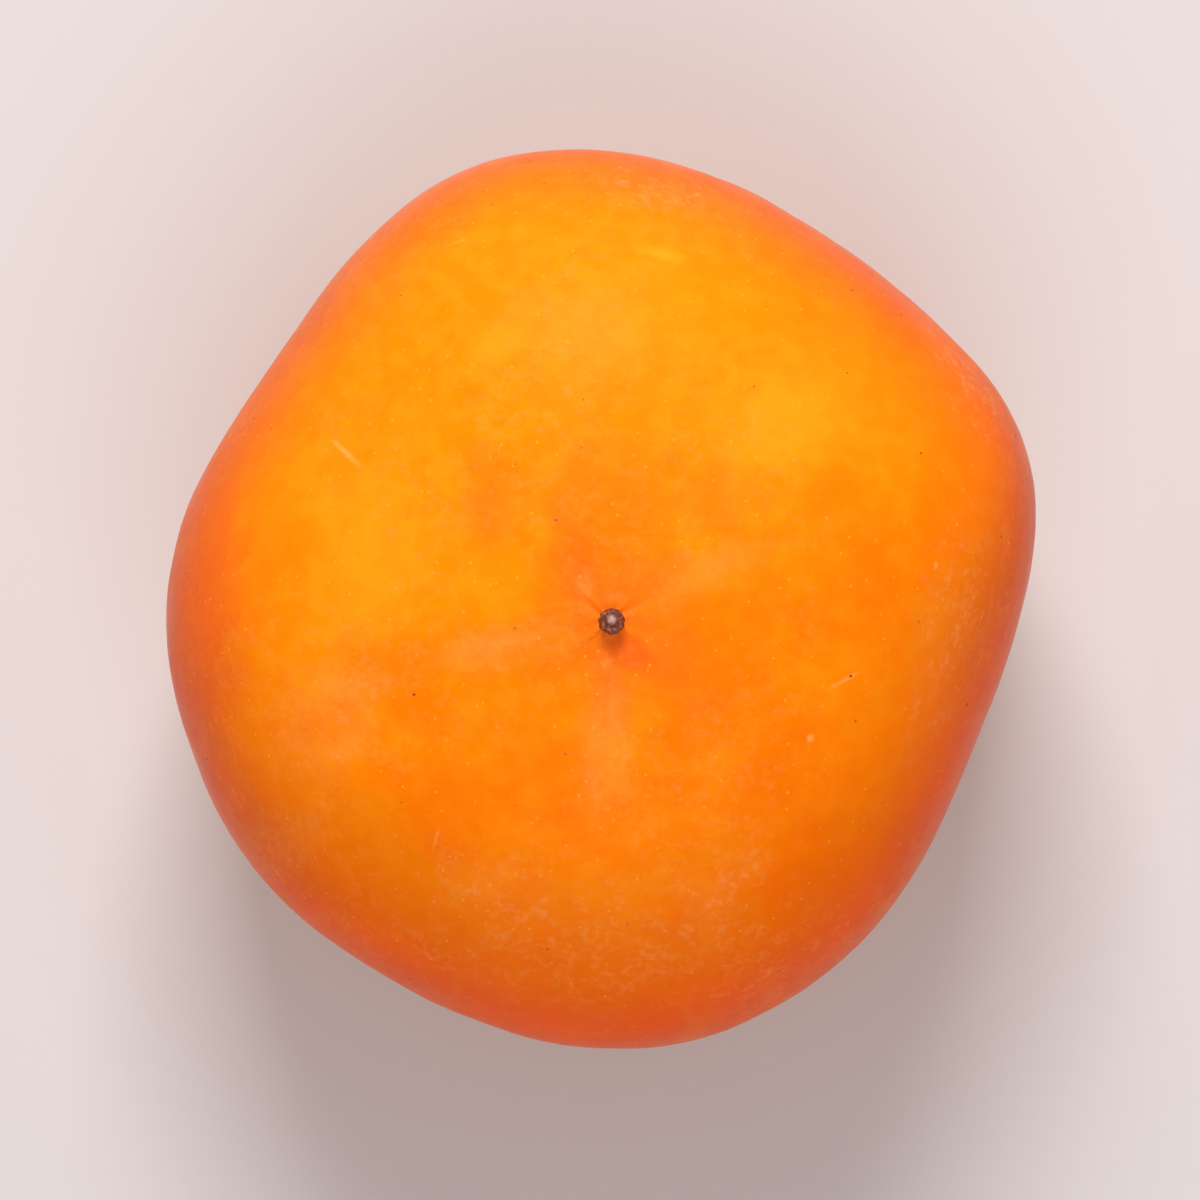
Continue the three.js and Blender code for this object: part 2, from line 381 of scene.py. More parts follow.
# marks seen from above: softness and raggedness of each kind; X, Y, turn, half length, half width, strength
skinMarks = {
    # painted highlight: the gold patches north, north-east and west of the apex and the streak by the north
    # edge; the other gold marks are lighter skin
    "goldAndHighlight": (1.0, 0.3, [
        (16, 16, 45, 12, 8, 0.6), (-20, 4, 95, 13, 7, 0.5), (3, 25, 5, 13, 9, 0.2),
        (-9, 21.5, 30, 5, 3.5, 0.4), (9, 1.5, 12, 7, 2.5, 0.5), (10, -15, 120, 8, 6, 0.35),
        (5.5, 29.5, -14, 3.6, 0.9, 0.9)]),
    "blushAndShade": (0.9, 0.5, [
        (7, -6.5, -40, 7, 5, 0.2), (3, 0.5, 15, 8, 5, 0.25), (-2.5, 5, 105, 9, 3, 0.35),
        (1, -7, 90, 6, 3, 0.3), (1, 10, 0, 10, 7, 0.22), (2.2, -4.6, -30, 3.4, 2.4, 0.6),
        # painted shade: the last blush mark, along the west rim, darkens that rim
        (-9, 8, 45, 7, 5, 0.26), (9, 9, -45, 7, 5, 0.2), (-33.5, -2, 88, 17, 5, 0.5)]),
    "bloom": (0.9, 0.6, [
        (-8.5, -4, 14, 9, 2.8, 0.4), (0.8, -12.5, 88, 9, 3, 0.4), (-1.4, 1.2, 100, 2.2, 1.1, 0.3),
        (1.1, 0.2, 0, 1.5, 0.9, 0.5), (0.6, -5.4, 80, 1.6, 0.9, 0.5), (10.5, 3.2, 18, 8, 2.4, 0.25),
        (-23, -9.5, 60, 9, 6, 0.35), (-28, -22, 45, 8, 4, 0.3)]),
    "scuff": (0.8, 0.8, [
        (0, -30, 0, 22, 7, 0.4), (9, -27, 60, 9, 4.5, 0.6), (-9, -25, -20, 9, 4.5, 0.5),
        (5, 35, -12, 10, 2.2, 0.5), (31, 22, -58, 12, 3.6, 0.6), (-29.5, 20, 62, 11, 3, 0.5),
        (29, -4, 80, 13, 3.5, 0.4)]),
    "scratch": (0.9, 0.8, [
        (-21.7, 12.6, -42, 2.4, 0.4, 0.6), (20.8, -6.8, 28, 1.7, 0.3, 0.5),
        (-12.5, 30.5, 20, 1.3, 0.22, 0.4), (17.9, -11.7, 60, 0.5, 0.4, 0.7),
        (28.6, 2.9, 80, 0.6, 0.3, 0.6), (8.3, 34.8, 10, 0.7, 0.35, 0.6),
        (-14, -20.5, 75, 1.5, 0.22, 0.35)]),
}


def persimmonSkin():
    material, tree, shader = newMaterial("persimmonSkin")
    spot = millimetres(tree)
    height = addNode(tree, "ShaderNodeSeparateXYZ", spot).outputs["Z"]
    soft = {name: patches(tree, spot, *values) for name, values in skinPatches.items()}
    noises = {name: addNode(tree, "ShaderNodeTexNoise", {"Vector": spot, "Scale": 1 / size, "Detail": detail,
                                                         "Roughness": roughness})
              for name, (size, detail, roughness) in skinNoises.items()}

    # turn and distance round the apex, for all that fans out from it
    level = addNode(tree, "ShaderNodeVectorMath", spot, (1.0, 1.0, 0.0), operation="MULTIPLY")
    apex = (berryForm["Apex X"], berryForm["Apex Y"], 0.0)
    fromApex = addNode(tree, "ShaderNodeVectorMath", level, apex, operation="SUBTRACT")
    distance = addNode(tree, "ShaderNodeVectorMath", fromApex, operation="LENGTH").outputs["Value"]
    direction = addNode(tree, "ShaderNodeVectorMath", fromApex, operation="NORMALIZE")
    outwards = addNode(tree, "ShaderNodeCombineXYZ", 0.0, 0.0, distance)
    fans = {name: fanned(tree, direction, base, *skinFans[name])
            for name, base in (("streaks", outwards), ("lines", spot), ("cracks", outwards))}

    # zones by height, with uneven edges that follow the mottling of the flesh, and round the apex
    uneven = addNode(tree, "ShaderNodeMath", soft["mottle"], 14.0, height, operation="MULTIPLY_ADD")
    border = addNode(tree, "ShaderNodeMath", height, soft["border"], operation="ADD")
    zones = zoneMasks(tree, skinZones, {"dome": height, "flank": uneven, "low": uneven, "belt": uneven,
                                        "apex": distance, "shaded": border})

    # listed marks: ellipses with ragged edges, one mask for each kind
    ragged = addNode(tree, "ShaderNodeMapRange", {"Value": noises["ragged"], "To Min": -1.0, "To Max": 1.0})
    masks = {}
    for kind, (softness, raggedness, marks) in skinMarks.items():
        mask = 0.0
        for x, y, turn, halfLength, halfWidth, strength in marks:
            near = addNode(tree, "ShaderNodeVectorMath", level, (x, y, 0.0), operation="SUBTRACT")
            turned = addNode(tree, "ShaderNodeVectorRotate", {"Vector": near, "Angle": -math.radians(turn)},
                             rotation_type="Z_AXIS")
            size = (halfLength, halfWidth, 1.0)
            scaled = addNode(tree, "ShaderNodeVectorMath", turned, size, operation="DIVIDE")
            far = addNode(tree, "ShaderNodeVectorMath", scaled, operation="LENGTH").outputs["Value"]
            far = addNode(tree, "ShaderNodeMath", ragged, raggedness, far, operation="MULTIPLY_ADD")
            inputs = {"Value": far, "From Min": 1.0, "From Max": 1.0 - softness, "To Max": strength}
            one = addNode(tree, "ShaderNodeMapRange", inputs, interpolation_type="SMOOTHSTEP")
            mask = addNode(tree, "ShaderNodeMath", one, mask, operation="MAXIMUM")
        masks[kind] = addNode(tree, "ShaderNodeMath", mask, zones["dome"], operation="MULTIPLY")

    # grains of bloom and scuffed wax
    grain = addNode(tree, "ShaderNodeMapRange", {"Value": noises["grain"], "From Min": 0.44,
                                                 "From Max": 0.64})
    granular = addNode(tree, "ShaderNodeMath", grain, soft["clump"], operation="MULTIPLY")
    bloomy = addNode(tree, "ShaderNodeMath", fans["streaks"], 0.5, 0.35, operation="MULTIPLY_ADD")
    bloomy = addNode(tree, "ShaderNodeMath", grain, 0.35, bloomy, operation="MULTIPLY_ADD")
    bloom = addNode(tree, "ShaderNodeMath", bloomy, masks["bloom"], operation="MULTIPLY")
    powder = addNode(tree, "ShaderNodeMath", granular, 0.8, 0.12, operation="MULTIPLY_ADD")
    scuff = addNode(tree, "ShaderNodeMath", powder, masks["scuff"], operation="MULTIPLY")
    scratch = addNode(tree, "ShaderNodeMath", grain, 0.4, 0.5, operation="MULTIPLY_ADD")
    scratch = addNode(tree, "ShaderNodeMath", scratch, masks["scratch"], operation="MULTIPLY")
    dust = addNode(tree, "ShaderNodeMath", granular, soft["dusty"], operation="MULTIPLY")

    # deeper and redder on the flanks, in part painted shade that darkens the rim, with pale streaks,
    # and a cracked yellow ring where the calyx shades it
    # painted shade: the side away from the key light is made deeper
    shadedSide = addNode(tree, "ShaderNodeVectorMath", level, shadeSlope, operation="DOT_PRODUCT")
    deepAndShade = addNode(tree, "ShaderNodeMath", zones["flank"], 0.8, soft["mottle"], operation="MULTIPLY_ADD")
    deepAndShade = addNode(tree, "ShaderNodeMath", deepAndShade, shadedSide.outputs["Value"], operation="ADD", use_clamp=True)
    lines = addNode(tree, "ShaderNodeMath", fans["lines"], zones["low"], operation="MULTIPLY")
    low = addNode(tree, "ShaderNodeMath", zones["low"], zones["belt"], operation="MULTIPLY")
    apexBlush = addNode(tree, "ShaderNodeMath", zones["apex"], zones["dome"], operation="MULTIPLY")
    cracks = addNode(tree, "ShaderNodeMath", fans["cracks"], zones["shaded"], operation="MULTIPLY")

    # pale lenticels and a few brown specks
    dotted = []
    for spacing, radius, leftOut, strength in skinDots:
        dots = addNode(tree, "ShaderNodeTexVoronoi", {"Vector": spot, "Scale": 1 / spacing})
        picked = addNode(tree, "ShaderNodeSeparateColor", dots.outputs["Color"])
        picked = addNode(tree, "ShaderNodeMath", picked.outputs["Red"], leftOut, operation="GREATER_THAN")
        inputs = {"Value": dots.outputs["Distance"], "From Min": radius / spacing,
                  "From Max": 0.3 * radius / spacing, "To Max": strength}
        one = addNode(tree, "ShaderNodeMapRange", inputs)
        dotted.append(addNode(tree, "ShaderNodeMath", one, picked, operation="MULTIPLY"))
    lenticels, specks = dotted

    colour = layerColours(tree, skinLook, "amber", [
        (soft["freckle"], "goldAndHighlight"),
        (masks["goldAndHighlight"], "goldAndHighlight"),
        (deepAndShade, "deepAndShade"),
        (low, "redFlankAndShade"),
        (lines, "goldAndHighlight"),
        (masks["blushAndShade"], "blushAndShade"),
        (apexBlush, "blushAndShade"),
        (zones["shaded"], "underLeaf"),
        (dust, "bloom"),
        (bloom, "bloom"),
        (scuff, "scuff"),
        (scratch, "scratch"),
        (lenticels, "lenticel"),
        (specks, "speck"),
        (cracks, "corky"),
    ])

    # satin wax, duller where it is bloomy or scuffed
    dull = addNode(tree, "ShaderNodeMath", bloom, scuff, operation="ADD")
    dull = addNode(tree, "ShaderNodeMath", dull, 0.3, 0.29, operation="MULTIPLY_ADD")
    for mask, dulling in ((soft["mottle"], 0.15), (cracks, 0.3)):
        dull = addNode(tree, "ShaderNodeMath", mask, dulling, dull, operation="MULTIPLY_ADD")
    relief = noises["pores"]
    for field, rise in ((noises["ripple"], 3.0), (granular, 0.5), (cracks, -2.0)):
        relief = addNode(tree, "ShaderNodeMath", field, rise, relief, operation="MULTIPLY_ADD")
    bump = addNode(tree, "ShaderNodeBump", {"Strength": 0.35, "Distance": 0.06 * mm, "Height": relief})
    setInputs(tree, shader, {**skinFinish, "Base Color": colour, "Roughness": dull, "Normal": bump})
    return material


skin = persimmonSkin()
berryValues = {**berryForm, "Material": skin}
berryValues.update({f"Swell of {lobes} lobes": swell for lobes, swell, _ in berryWaves})
berryMesh = meshFromTree("persimmonBerry", berryTree(berryValues), berryValues)
berry = newPiece("persimmonBerry", berryMesh, skin, "persimmon_skin", "fruit")


# The same outline and under side for the pieces that touch the berry.
def outlineRadius(turn):
    return berryForm["Mean radius"] + sum(swell * np.cos(lobes * (turn - math.radians(crest)))
                                          for lobes, swell, crest in berryWaves)


def undersideHeight(share):
    edge, rest, power = berryForm["Shoulder share"], berryForm["Rest height"], berryForm["Shoulder power"]
    basin = rest + berryForm["Basin depth"] * (1 - (share / edge) ** 2) ** 2
    outward = np.clip((share - edge) / (1 - edge), 0, 1)
    shoulder = (1 - outward ** power) ** (1 / power)
    return np.where(share < edge, basin, berryForm["Equator height"] * (1 - shoulder) + rest * shoulder)


# The calyx: four leathery lobes pressed under the berry, with raised veins and thin, waved, dried edges.
calyxForm = {
    "gap": 0.3,
    "lobes": [(60, 25.6), (150, 24.2), (240, 25.3), (330, 24.7)],  # turn of the midline, reach
    "notch": 13,  # radius at the cut between two lobes
    "lobePower": 2.1,
    "lobeRound": 1.25,
    "pointHeight": 1.2,
    "pointShare": 0.2,
    "pointPower": 1.5,
    "ripple": 0.45,
    "rippleWaves": 9,
    "nibbles": [(0.55, 2.3, 4), (0.3 * 0.55, 0.35 * 2.3, 11)],  # ragged edge: depth, size, seed
    "thickness": 1.5,
    "edgeThickness": 0.8,
    "leastThickness": 0.45,
    "thinningPower": 8,
    "droop": 0.6,
    "frill": 0.35,
    "frillWaves": 14,
    "frillSize": 3.4,
    "edgePower": 4,
    "foldRadius": 10,
    "foldWidth": 3.3,
    "collarRadius": 5.4,
    "collarWidth": 1.3,
    "collarHeight": 0.7,
    "pleats": 16,
    "pleatHeight": 0.16,
    "puckers": [(0.2, 2.4, 1), (0.09, 0.9, 2)],  # leathery relief: height, size, seed
    "veinRise": 3,  # each vein rises over this length and fades over the next one
    "veinFade": 2.5,
    "dryMargin": 4.5,
    "dryPatches": 2.8,
    "crowding": 0.2,  # how far the columns crowd towards the notches
    "rowSpread": 0.9,
    "columns": 640,
    "rows": 46,
}
# each set of veins starts further out: veins in a lobe, start radius, height, half width
calyxVeins = [(9, 5.0, 0.36, 0.36), (18, 9.0, 0.22, 0.26), (36, 15.0, 0.13, 0.18)]


def calyxMesh():
    form = calyxForm
    even = np.linspace(0, 2 * np.pi, form["columns"], endpoint=False)
    period = 2 * np.pi / len(form["lobes"])
    first = math.radians(form["lobes"][0][0])
    turn = even + form["crowding"] * period / 2 * np.sin((even - first) / period * 2 * np.pi)
    away = turn[:, None] - np.radians([lobe[0] for lobe in form["lobes"]])[None, :]
    away = np.arctan2(np.sin(away), np.cos(away)) / (period / 2)
    nearest = np.abs(away).argmin(1)
    signed = away[np.arange(len(turn)), nearest]
    across = np.minimum(1, np.abs(signed))
    lobeReach = np.array([lobe[1] for lobe in form["lobes"]])[nearest]

    blade = (1 - across ** form["lobePower"]) ** (1 / form["lobeRound"])
    point = form["pointHeight"] * np.exp(-(across / form["pointShare"]) ** form["pointPower"])
    ripple = form["ripple"] * np.cos(form["rippleWaves"] * turn)
    reach = form["notch"] + (lobeReach - form["pointHeight"] - form["notch"] + ripple) * blade + point
    edgeLine = np.stack([reach * np.cos(turn), reach * np.sin(turn), 0 * turn], 1)
    for depth, size, seed in form["nibbles"]:
        reach = reach - depth * np.abs(bumps(edgeLine, size, seed))

    between = (1 - np.cos(np.pi * across)) / 2
    frilled = 1 + form["frill"] * np.cos(form["frillWaves"] * turn)
    frilled = frilled + form["frill"] * bumps(edgeLine, form["frillSize"], 12)
    outs = np.sin(np.arange(1, form["rows"] + 1) / form["rows"] * np.pi / 2)
    lowRings, highRings, veinRings, dryRings = [], [], [], []
    for out in outs:
        along = out ** form["rowSpread"]
        radius = along * reach
        inset = reach - radius
        x, y = radius * np.cos(turn), radius * np.sin(turn)
        thinned = along ** form["thinningPower"]
        thickness = form["thickness"] + (form["edgeThickness"] - form["thickness"]) * thinned
        top = undersideHeight(radius / outlineRadius(turn)) - form["gap"]
        fold = between ** 2 * np.exp(-((radius - form["foldRadius"]) / form["foldWidth"]) ** 2)
        edge = frilled * (radius / form["lobes"][0][1]) ** form["edgePower"]
        room = np.maximum(0, top - thickness)
        low = np.maximum(0, top - thickness - room * form["droop"] * np.minimum(1, fold + edge))
        high = low + np.minimum(thickness, top - low)

        # relief of the lower face: collar, veins, pleats round the stalk, leathery puckers
        fromCollar = (radius - form["collarRadius"]) / form["collarWidth"]
        collar = form["collarHeight"] * np.exp(-fromCollar ** 2)
        relief = np.zeros_like(radius)
        for count, start, rise, halfWidth in calyxVeins:
            phase = (signed + 1) / 2 * count
            side = (phase - np.floor(phase) - 0.5) / count * period * radius
            fade = np.clip((radius - start) / form["veinRise"], 0, 1)
            fade = fade * np.clip(inset / form["veinFade"], 0, 1)
            relief = np.maximum(relief, rise * fade * np.exp(-(side / halfWidth) ** 2))
        veinRings.append(relief / calyxVeins[0][2])
        spots = np.stack([x, y, 0 * x], 1)
        dryRings.append(1 - inset / form["dryMargin"] + 0.35 * bumps(spots, form["dryPatches"], 3))
        pleat = form["pleatHeight"] * np.cos(form["pleats"] * turn + 2 * bumps(spots, 6, 13))
        relief = relief + pleat * np.exp(-(fromCollar / 2) ** 2)
        for rise, size, seed in form["puckers"]:
            relief = relief + rise * bumps(spots, size, seed)
        edgeShare = np.clip(1 - inset / (form["edgeThickness"] / 2), 0, 1)
        rounded = np.sqrt(1 - edgeShare ** 2)
        middle = (low + high) / 2
        carved = np.clip(low - relief * rounded - collar, 0, high - form["leastThickness"])
        lowRings.append(np.stack([x, y, middle + (carved - middle) * rounded], 1))
        highRings.append(np.stack([x, y, middle + (high - middle) * rounded], 1))
    bottom = [0, 0, lowRings[0][:, 2].mean()]
    top = [0, 0, highRings[0][:, 2].mean()]
    mesh = ringMesh("calyxLobes", [*lowRings, *highRings[-2::-1]], bottom, top)
    for name, rings in (("vein", veinRings), ("dryness", dryRings)):
        values = np.concatenate([[0], *rings, *rings[-2::-1], [0]])
        mesh.attributes.new(name, "FLOAT", "POINT").data.foreach_set("value", np.clip(values, 0, 1))
    return mesh


# A persimmon's calyx after picking: leathery, olive green drying to brown, dull, with paler veins and
# papery edges.
calyxLook = {
    "olive": "#7B7046",
    "dusky": "#5A5532",
    "dry": "#8A6238",
    "crisp": "#6A4728",
    "vein": "#AA986A",
    "heart": "#8F7850",
}
calyxPatches = {"dusky": (5.0, 0.4, 0.66, 0.8, 4.0), "stains": (2.5, 0.55, 0.72, 0.6, 4.0)}
calyxFibres = (16.0, 0.15, 0.5, 0.66, 0.5, 3.0)
calyxZones = {
    "dry": (0.1, 0.8, 0.9, "SMOOTHSTEP"),
    "crisp": (0.7, 1.0, 1.0, "SMOOTHSTEP"),
    "heart": (9.0, 4.0, 0.8, "SMOOTHSTEP"),
}


def driedCalyx():
    material, tree, shader = newMaterial("driedCalyx")
    spot = millimetres(tree)
    level = addNode(tree, "ShaderNodeVectorMath", spot, (1.0, 1.0, 0.0), operation="MULTIPLY")
    radius = addNode(tree, "ShaderNodeVectorMath", level, operation="LENGTH").outputs["Value"]
    direction = addNode(tree, "ShaderNodeVectorMath", level, operation="NORMALIZE")
    dryness, vein = [addNode(tree, "ShaderNodeAttribute", attribute_name=name).outputs["Fac"]
                     for name in ("dryness", "vein")]
    zones = zoneMasks(tree, calyxZones, {"dry": dryness, "crisp": dryness, "heart": radius})
    veined = addNode(tree, "ShaderNodeMath", vein, 0.75, operation="MULTIPLY")
    soft = {name: patches(tree, spot, *values) for name, values in calyxPatches.items()}
    outwards = addNode(tree, "ShaderNodeCombineXYZ", 0.0, 0.0, radius)
    fibres = fanned(tree, direction, outwards, *calyxFibres)
    colour = layerColours(tree, calyxLook, "olive", [
        (soft["dusky"], "dusky"),
        (fibres, "vein"),
        (zones["heart"], "heart"),
        (zones["dry"], "dry"),
        (soft["stains"], "dry"),
        (veined, "vein"),
        (zones["crisp"], "crisp"),
    ])
    grain = addNode(tree, "ShaderNodeTexNoise", {"Vector": spot, "Scale": 1 / 0.35, "Detail": 3.0})
    relief = addNode(tree, "ShaderNodeMath", fibres, 1.5, grain, operation="MULTIPLY_ADD")
    bump = addNode(tree, "ShaderNodeBump", {"Strength": 0.6, "Distance": 0.1 * mm, "Height": relief})
    dull = addNode(tree, "ShaderNodeMath", grain, 0.25, 0.62, operation="MULTIPLY_ADD")
    setInputs(tree, shader, {"Base Color": colour, "Roughness": dull, "Normal": bump})
    return material


calyx = newPiece("calyxLobes", calyxMesh(), driedCalyx(), "dried_calyx", "calyx")


# Scatters small shapes over a mesh: the fine down round the stalk, and the corky specks of the skin.
def scatterTree(name, values, shape):
    tree, given = newTree(name, values)
    spot = addNode(tree, "GeometryNodeInputPosition")
    at = addNode(tree, "ShaderNodeSeparateXYZ", spot).outputs
    level = addNode(tree, "ShaderNodeCombineXYZ", at["X"], at["Y"], 0.0)
    radius = addNode(tree, "ShaderNodeVectorMath", level, operation="LENGTH").outputs["Value"]
    normal = addNode(tree, "GeometryNodeInputNormal")
    facing = addNode(tree, "ShaderNodeSeparateXYZ", normal).outputs["Z"]
    beyond = addNode(tree, "FunctionNodeCompare", radius, given["Inner radius"], operation="GREATER_THAN")
    within = addNode(tree, "FunctionNodeCompare", radius, given["Outer radius"], operation="LESS_THAN")
    lower = addNode(tree, "FunctionNodeCompare", facing, given["Facing below"], operation="LESS_THAN")
    chosen = addNode(tree, "FunctionNodeBooleanMath", beyond, within, operation="AND")
    chosen = addNode(tree, "FunctionNodeBooleanMath", chosen, lower, operation="AND")
    points = addNode(tree, "GeometryNodeDistributePointsOnFaces",
                     {"Mesh": given["Geometry"], "Selection": chosen, "Density": given["Density"],
                      "Seed": given["Seed"]})

    # each one stands along the normal, with a random lean and size
    lean = addNode(tree, "FunctionNodeRandomValue", {"Min": (-1.0, -1.0, -1.0), "Max": (1.0, 1.0, 1.0),
                                                     "Seed": given["Seed"]}, data_type="FLOAT_VECTOR")
    lean = addNode(tree, "ShaderNodeVectorMath", {0: lean, "Scale": given["Lean"]}, operation="SCALE")
    way = addNode(tree, "ShaderNodeVectorMath", points.outputs["Normal"], lean, operation="ADD")
    turned = addNode(tree, "FunctionNodeAlignRotationToVector", {"Vector": way}, axis="Z")
    size = addNode(tree, "FunctionNodeRandomValue", {2: given["Least size"], 3: 1.0, "Seed": given["Seed"]},
                   data_type="FLOAT")
    placed = addNode(tree, "GeometryNodeInstanceOnPoints", {"Points": points, "Instance": shape(tree, given),
                                                            "Rotation": turned, "Scale": size.outputs[1]})
    return finishTree(tree, given, placed)


# a hair is a slim three-sided cone
def hairShape(tree, given):
    return addNode(tree, "GeometryNodeMeshCone", {"Vertices": 3, "Side Segments": 1, "Fill Segments": 1,
                                                  "Radius Top": 0.0, "Radius Bottom": given["Half width"],
                                                  "Depth": given["Length"]}, fill_type="TRIANGLE_FAN")


# a speck is a low, flattened dome
def speckShape(tree, given):
    ball = addNode(tree, "GeometryNodeMeshIcoSphere", {"Radius": given["Half width"], "Subdivisions": 2})
    flat = addNode(tree, "ShaderNodeMath", given["Length"], given["Half width"], operation="DIVIDE")
    scale = addNode(tree, "ShaderNodeCombineXYZ", 1.0, 0.8, flat)
    return addNode(tree, "GeometryNodeTransform", {"Geometry": ball, "Scale": scale})


# the density is for a square metre, and a lean of 1 can be as long as the normal
downForm = {
    "Inner radius": 3.4 * mm,
    "Outer radius": 8.5 * mm,
    "Facing below": -0.2,
    "Density": 6.5e6,
    "Lean": 1.1,
    "Length": 1.1 * mm,
    "Half width": 0.035 * mm,
    "Least size": 0.4,
    "Seed": 5,
}
speckForm = {
    "Inner radius": 3.0 * mm,
    "Outer radius": 45.0 * mm,
    "Facing below": 2.0,
    "Density": 5200.0,
    "Lean": 0.0,
    "Length": 0.035 * mm,
    "Half width": 0.17 * mm,
    "Least size": 0.35,
    "Seed": 21,
}
# Down of the calyx: short dry hairs, pale straw, dull.
downLook = {"straw": "#D0BE92", "worn": "#9A7F52", "roughness": 0.8, "patches": (1.5, 0.4, 0.6)}
# Corky specks: small grown-over wounds, tan to brown, dull.
corkLook = {"tan": "#C4661C", "worn": "#7A3410", "roughness": 0.7, "patches": (6.0, 0.42, 0.58)}


def twoTone(name, look, base):
    material, tree, shader = newMaterial(name)
    worn = patches(tree, millimetres(tree), *look["patches"])
    colour = layerColours(tree, look, base, [(worn, "worn")])
    setInputs(tree, shader, {"Base Color": colour, "Roughness": look["roughness"]})
    return material


for name, form, shape, source, look, base, slot in (
    ("calyxDown", downForm, hairShape, calyx, downLook, "straw", "dried_calyx"),
    ("corkySpecks", speckForm, speckShape, berry, corkLook, "tan", "persimmon_skin"),
):
    material = twoTone(name, look, base)
    values = {**form, "Material": material}
    scattered = meshFromTree(name, scatterTree(name, values, shape), values, source.data.copy())
    newPiece(name, scattered, material, slot)


# The clipped stalk: a flared foot, an oval neck in ribbed bark, and a slanting cut with a pith in it.
stalkForm = {
    "radius": 2.4,
    "flare": 3.5,
    "length": 3.4,
    "cutSlope": 0.12,
    "oval": 0.08,
    "chamfer": 0.3,
    "burr": 0.1,
    "neckFrom": 0.35,  # the neck's ends, as shares of the length below the foot
    "neckTo": 0.65,
    "footRim": 0.15,
    "ribs": 13,
    "ribHeight": 0.1,
    "barkSwell": 0.08,  # as a share of the radius
    "barkSize": 0.7,
    "cutRelief": 0.05,
    "cutGrain": 1.4,
    "pithRadius": 0.45,
    "pithDepth": 0.35,
    "columns": 120,
}


def stalkMesh():
    form = stalkForm
    foot = float(undersideHeight(form["flare"] / berryForm["Mean radius"]))
    foot -= calyxForm["thickness"] + 3 * calyxForm["gap"]
    turn = np.linspace(0, 2 * np.pi, form["columns"], endpoint=False)
    rim = form["radius"] + form["burr"]
    outline = [
        (rim - form["chamfer"], form["length"]),
        (rim, form["length"] - form["chamfer"]),
        (form["radius"], form["neckTo"] * form["length"]),
        (rim, form["neckFrom"] * form["length"]),
        (form["flare"] - form["chamfer"], form["footRim"] * form["length"]),
        (form["flare"], 0.0),
    ]
    sides = []
    for (r0, d0), (r1, d1) in zip(outline, outline[1:]):
        sides += [(r0 + (r1 - r0) * t, d0 + (d1 - d0) * t, 1.0) for t in np.linspace(0, 1, 6)[:-1]]
    cut = [(radius, form["length"] - form["pithDepth"] * math.exp(-(radius / form["pithRadius"]) ** 4), 0.0)
           for radius in np.linspace(0.08, rim - form["chamfer"], 22)[:-1]]
    cap = [(radius, 0.0, 0.0) for radius in np.linspace(form["flare"], 0.4, 6)]
    rings = []
    for radius, depth, barked in [*cut, *sides, *cap]:
        ribs = np.cos(form["ribs"] * turn + 1.4 * np.sin(3 * turn)) * form["ribHeight"]
        r = radius + barked * np.minimum(ribs, 0.5 * form["ribHeight"])
        x, y = r * np.cos(turn), r * np.sin(turn)
        z = foot - depth + 0 * turn
        spots = np.stack([x, y, z], 1)
        swell = barked * form["barkSwell"] * bumps(spots, form["barkSize"], 6)
        swell = swell - barked * form["barkSwell"] / 2
        x, y = x * (1 + swell), y * (1 + swell)
        if not barked and depth > 0:
            z = z + form["cutRelief"] * bumps(np.stack([x, 6 * y, 0 * x], 1), form["cutGrain"], 7)
        z = z + form["cutSlope"] * x * depth / form["length"]
        rings.append(np.stack([x * (1 + form["oval"]), y * (1 - form["oval"]), z], 1))
    return ringMesh("clippedStalk", rings, [0, 0, rings[0][:, 2].mean()], [0, 0, foot])


# Young fruit wood, clipped: grey-brown bark with fine cracks, and a paler, darkening cut face.
stalkLook = {"bark": "#6E573C", "dark": "#3F2E1F", "cut": "#B79A6B", "pith": "#7A5B36"}
stalkZones = {
    "face": (-0.6, -0.9, 1.0, "LINEAR"),
    "inner": (2.55, 2.3, 1.0, "LINEAR"),
    "rings": (0.3, 1.0, 0.35, "LINEAR"),
    "pith": (0.6, 0.4, 1.0, "LINEAR"),
}
ringWave = 9.0  # radians of the growth rings' wave in a millimetre


def stalkWood():
    material, tree, shader = newMaterial("stalkWood")
    spot = millimetres(tree)
    level = addNode(tree, "ShaderNodeVectorMath", spot, (1.0, 1.15, 0.0), operation="MULTIPLY")
    radius = addNode(tree, "ShaderNodeVectorMath", level, operation="LENGTH").outputs["Value"]
    facing = addNode(tree, "ShaderNodeSeparateXYZ", addNode(tree, "ShaderNodeNewGeometry").outputs["Normal"])
    rings = addNode(tree, "ShaderNodeMath", radius, ringWave, operation="MULTIPLY")
    rings = addNode(tree, "ShaderNodeMath", rings, operation="SINE")
    zones = zoneMasks(tree, stalkZones, {"face": facing.outputs["Z"], "inner": radius, "rings": rings,
                                         "pith": radius})
    face = addNode(tree, "ShaderNodeMath", zones["face"], zones["inner"], operation="MULTIPLY")
    rings = addNode(tree, "ShaderNodeMath", zones["rings"], face, operation="MULTIPLY")
    pith = addNode(tree, "ShaderNodeMath", zones["pith"], face, operation="MULTIPLY")
    along = addNode(tree, "ShaderNodeVectorMath", spot, (1.0, 1.0, 0.3), operation="MULTIPLY")
    cracked = patches(tree, along, 0.4, 0.45, 0.62, 0.8, 4.0)
    colour = layerColours(tree, stalkLook, "bark", [(cracked, "dark"), (face, "cut"), (rings, "pith"),
                                                    (pith, "dark")])
    bump = addNode(tree, "ShaderNodeBump", {"Strength": 0.6, "Distance": 0.08 * mm, "Height": cracked})
    setInputs(tree, shader, {"Base Color": colour, "Roughness": 0.85, "Normal": bump})
    return material


newPiece("clippedStalk", stalkMesh(), stalkWood(), "stalk_wood", "stalk")


